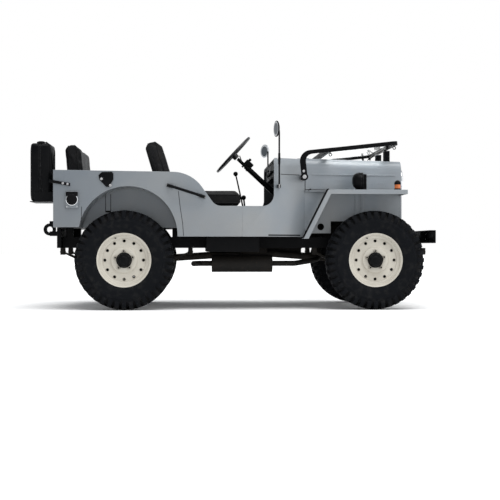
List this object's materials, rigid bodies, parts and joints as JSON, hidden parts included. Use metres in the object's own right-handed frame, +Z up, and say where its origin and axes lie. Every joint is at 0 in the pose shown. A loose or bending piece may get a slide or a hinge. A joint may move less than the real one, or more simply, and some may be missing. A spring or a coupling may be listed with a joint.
{
  "type": "open army 4x4 car",
  "caption": "Open light army 4x4 car with flat fenders, high bonnet, folding windscreen, bar-lug tyres, fuel can on the rear and tow hook",
  "frame": {"origin": "ground level under the middle of the car's box", "axes": "+X forward, +Y to the car's left, +Z up"},
  "size_m": [3.277, 1.686, 1.518],
  "materials": {
    "body_paint": "satin light grey paint",
    "black_paint": "satin black paint",
    "exhaust_steel": "dull black",
    "lamp": "black lamp body",
    "seat_cover": "black coated cloth",
    "castings": "painted casting",
    "steering_rim": "black hard rim",
    "glass": "clear flat glass",
    "tyre": "black bar-lug tyre",
    "wheel_paint": "cream paint"
  },
  "bodies": {
    "chassis": {"body_side_left": "body_paint", "body_side_right": "body_paint", "bonnet_latches": "black_paint", "can_rack": "black_paint", "cowl": "body_paint", "cross_members": "black_paint", "dashboard": "body_paint", "driver_controls": "black_paint", "exhaust": "exhaust_steel", "fender_lamps": "lamp", "fender_left": "body_paint", "fender_right": "body_paint", "floor": "body_paint", "frame_rail_left": "black_paint", "frame_rail_right": "black_paint", "front_axle": "black_paint", "front_bumper": "black_paint", "front_seat_backs": "seat_cover", "front_seat_cushions": "seat_cover", "fuel_can": "black_paint", "grille": "body_paint", "headlamps": "lamp", "leaf_springs": "black_paint", "mirrors": "black_paint", "pintle_hook": "black_paint", "powertrain": "castings", "propeller_shafts": "black_paint", "radiator": "black_paint", "rear_axle": "black_paint", "rear_panel": "body_paint", "rear_seat_back": "seat_cover", "rear_seat_cushion": "seat_cover", "seat_frames": "black_paint", "side_fittings": "black_paint", "side_lamps": "lamp", "steering_column": "black_paint", "wheelhouses": "body_paint", "windscreen_brackets": "black_paint"},
    "wheel_front_left": {"tyre_front_left": "tyre", "wheel_front_left": "wheel_paint"},
    "wheel_front_right": {"tyre_front_right": "tyre", "wheel_front_right": "wheel_paint"},
    "wheel_rear_left": {"tyre_rear_left": "tyre", "wheel_rear_left": "wheel_paint"},
    "wheel_rear_right": {"tyre_rear_right": "tyre", "wheel_rear_right": "wheel_paint"},
    "knuckle_right": {"knuckle_right": "black_paint"},
    "knuckle_left": {"knuckle_left": "black_paint"},
    "tie_rod": {"tie_rod": "black_paint"},
    "steering_wheel": {"steering_wheel": "steering_rim"},
    "windscreen": {"windscreen_frame": "black_paint", "windscreen_glass": "glass"},
    "bonnet": {"bonnet": "body_paint"}
  },
  "joints": [
    {"name": "roll_rear_right", "type": "hinge", "parent": "chassis", "child": "wheel_rear_right", "pos_m": [-0.8835, -0.613, 0.40226], "axis": [0, 1, 0], "continuous": true},
    {"name": "steer_right", "type": "hinge", "parent": "chassis", "child": "knuckle_right", "pos_m": [1.1485, -0.5, 0.40226], "axis": [0, 0, 1], "range_deg": [-25, 25]},
    {"name": "roll_front_right", "type": "hinge", "parent": "knuckle_right", "child": "wheel_front_right", "pos_m": [1.1485, -0.613, 0.40226], "axis": [0, 1, 0], "continuous": true},
    {"name": "roll_rear_left", "type": "hinge", "parent": "chassis", "child": "wheel_rear_left", "pos_m": [-0.8835, 0.613, 0.40226], "axis": [0, 1, 0], "continuous": true},
    {"name": "steer_left", "type": "hinge", "parent": "chassis", "child": "knuckle_left", "pos_m": [1.1485, 0.5, 0.40226], "axis": [0, 0, 1], "range_deg": [-25, 25]},
    {"name": "roll_front_left", "type": "hinge", "parent": "knuckle_left", "child": "wheel_front_left", "pos_m": [1.1485, 0.613, 0.40226], "axis": [0, 1, 0], "continuous": true},
    {"name": "tie_rod_pivot", "type": "hinge", "parent": "knuckle_right", "child": "tie_rod", "pos_m": [1.3185, -0.5, 0.40226], "axis": [0, 0, 1], "range_deg": [-25, 25]},
    {"name": "steering_turn", "type": "hinge", "parent": "chassis", "child": "steering_wheel", "pos_m": [0.0285, 0.35, 1.333], "axis": [-0.7314, 0, 0.682], "range_deg": [-350, 350]},
    {"name": "bonnet_lift", "type": "hinge", "parent": "chassis", "child": "bonnet", "pos_m": [0.5865, 0, 1.247], "axis": [0, -1, 0], "range_deg": [0, 82]},
    {"name": "windscreen_raise", "type": "hinge", "parent": "chassis", "child": "windscreen", "pos_m": [0.5685, 0, 1.075], "axis": [0, -1, 0], "range_deg": [0, 90.2]}
  ],
  "couplings": [
    {"joint": "steer_left", "follows": "steer_right", "ratio": 1},
    {"joint": "tie_rod_pivot", "follows": "steer_right", "ratio": -1},
    {"joint": "steering_turn", "follows": "steer_right", "ratio": 14},
    {"joint": "windscreen_raise", "follows": "bonnet_lift", "ratio": 1.1}
  ]
}
